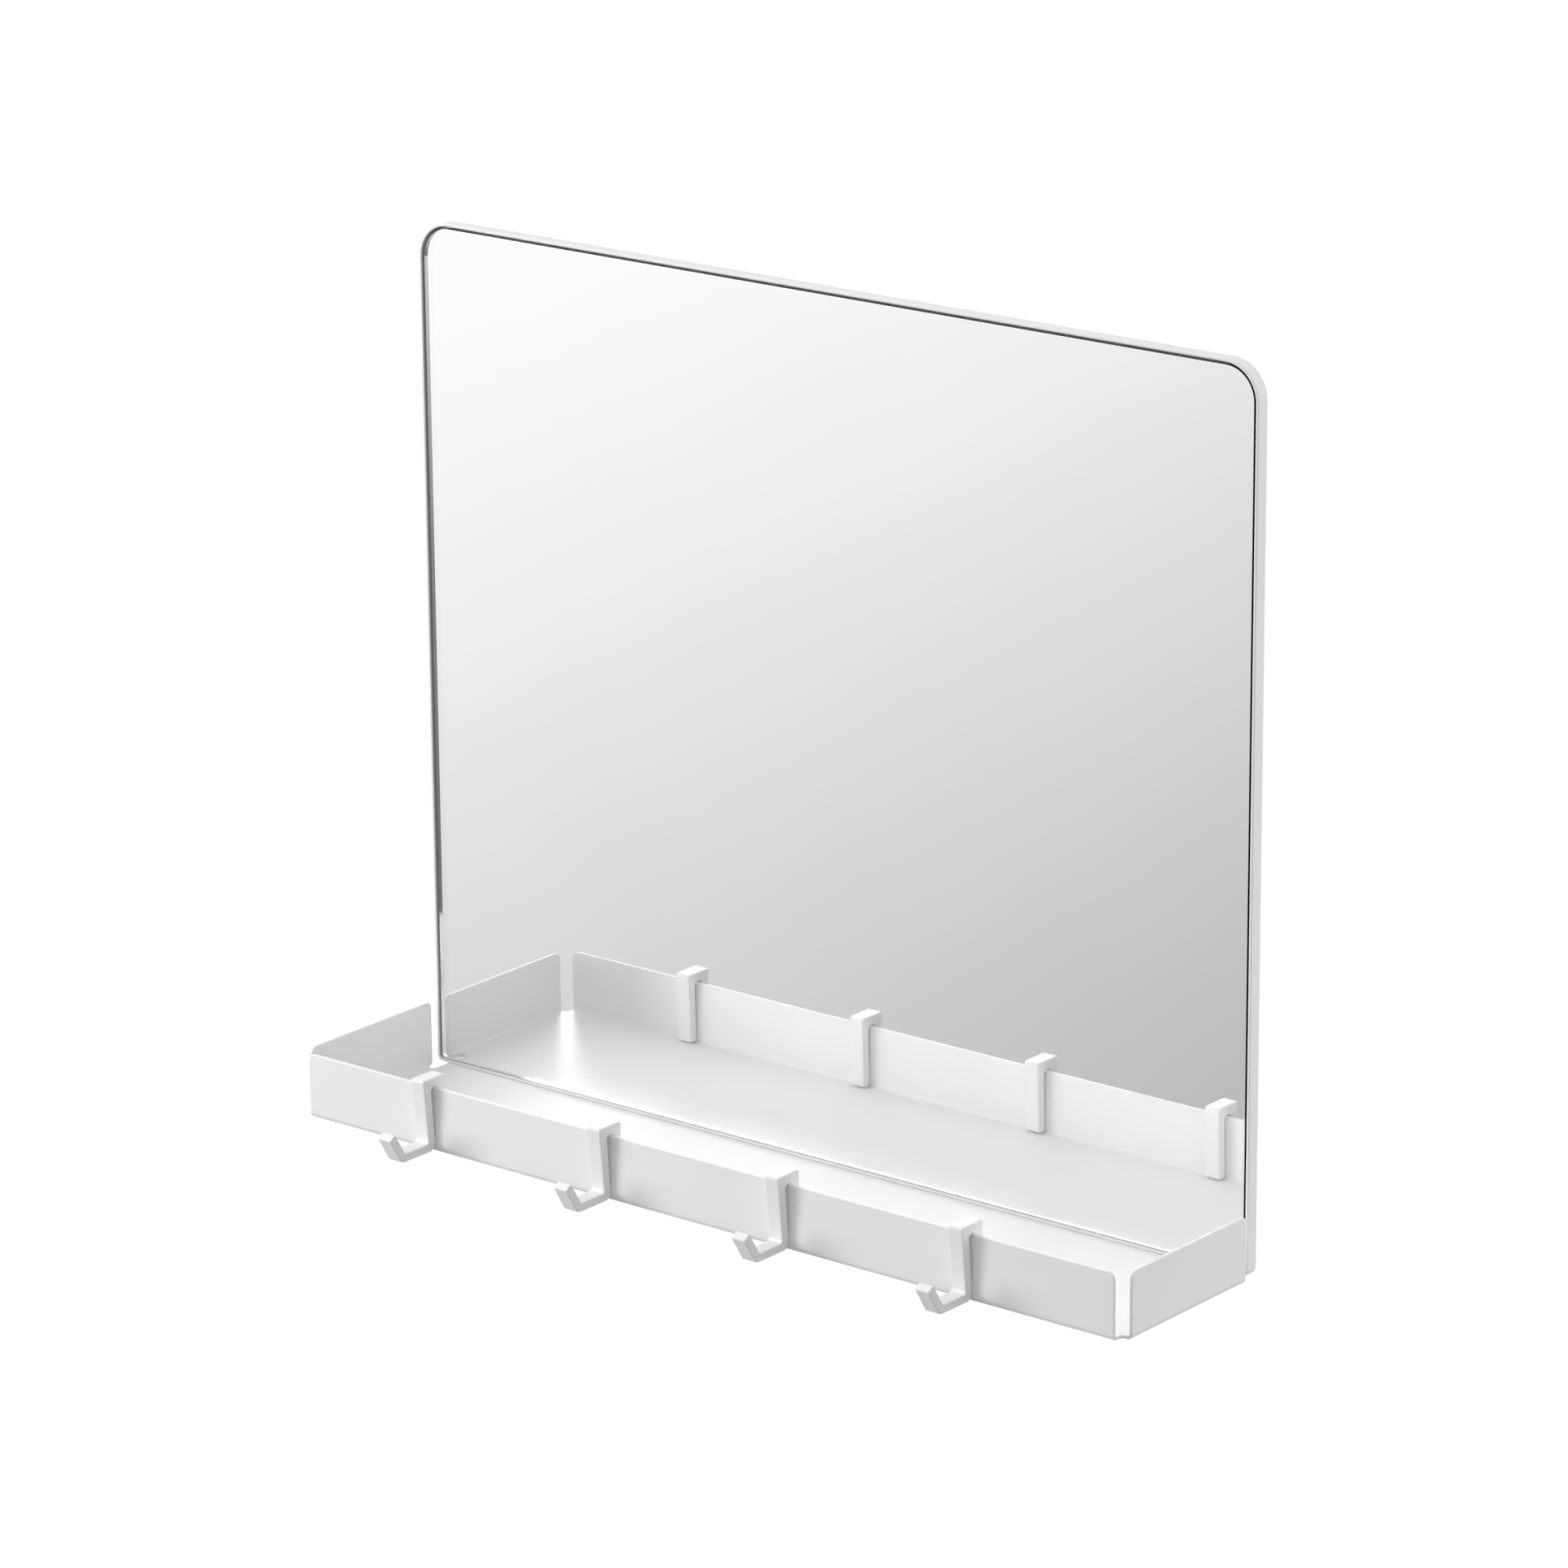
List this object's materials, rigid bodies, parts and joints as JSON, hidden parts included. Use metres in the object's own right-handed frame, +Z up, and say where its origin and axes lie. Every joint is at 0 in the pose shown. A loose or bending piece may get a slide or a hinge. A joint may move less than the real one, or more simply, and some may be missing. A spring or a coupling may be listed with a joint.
{
  "type": "locker mirror",
  "caption": "Upright mirror with rounded top corners in a white pan, a shallow open-cornered tray below it, sliding clip-on hooks along the tray's front wall and magnets behind.",
  "frame": {"origin": "centre of the mounting plane, the outer face of the middle magnet, where it meets the locker door", "axes": "+Z up, +Y into the door, +X to the right as seen by someone looking into the mirror"},
  "size_m": [0.3, 0.0869, 0.26],
  "materials": {
    "white_coat": "white powder coat, satin",
    "glass": "clear, polished",
    "silver": "silvered",
    "backing_film": "dark film",
    "foam_tape": "white foam",
    "adhesive_film": "clear adhesive",
    "magnet": "matt dark brown-black",
    "hook_plastic": "white, satin moulded",
    "screw_steel": "zinc plated"
  },
  "bodies": {
    "mirror_and_tray": {"tray": "white_coat", "back_pan": "white_coat", "mirror_glass": "glass", "silver_coat": "silver", "shatter_film": "backing_film", "foam_tape_1": "foam_tape", "foam_tape_2": "foam_tape", "foam_tape_3": "foam_tape", "foam_tape_4": "foam_tape", "magnet_left": "magnet", "magnet_centre": "magnet", "magnet_right": "magnet", "magnet_film_left": "adhesive_film", "magnet_film_centre": "adhesive_film", "magnet_film_right": "adhesive_film", "flange_screws": "screw_steel"},
    "hook_1": {"hook_1": "hook_plastic"},
    "hook_2": {"hook_2": "hook_plastic"},
    "hook_3": {"hook_3": "hook_plastic"},
    "hook_4": {"hook_4": "hook_plastic"}
  },
  "joints": [
    {"name": "hook_1_slide", "type": "slide", "parent": "mirror_and_tray", "child": "hook_1", "axis": [1, 0, 0], "range_m": [-0.0421, 0.0303]},
    {"name": "hook_2_slide", "type": "slide", "parent": "mirror_and_tray", "child": "hook_2", "axis": [1, 0, 0], "range_m": [-0.0303, 0.0295]},
    {"name": "hook_3_slide", "type": "slide", "parent": "mirror_and_tray", "child": "hook_3", "axis": [1, 0, 0], "range_m": [-0.0295, 0.0291]},
    {"name": "hook_4_slide", "type": "slide", "parent": "mirror_and_tray", "child": "hook_4", "axis": [1, 0, 0], "range_m": [-0.0291, 0.0453]}
  ]
}
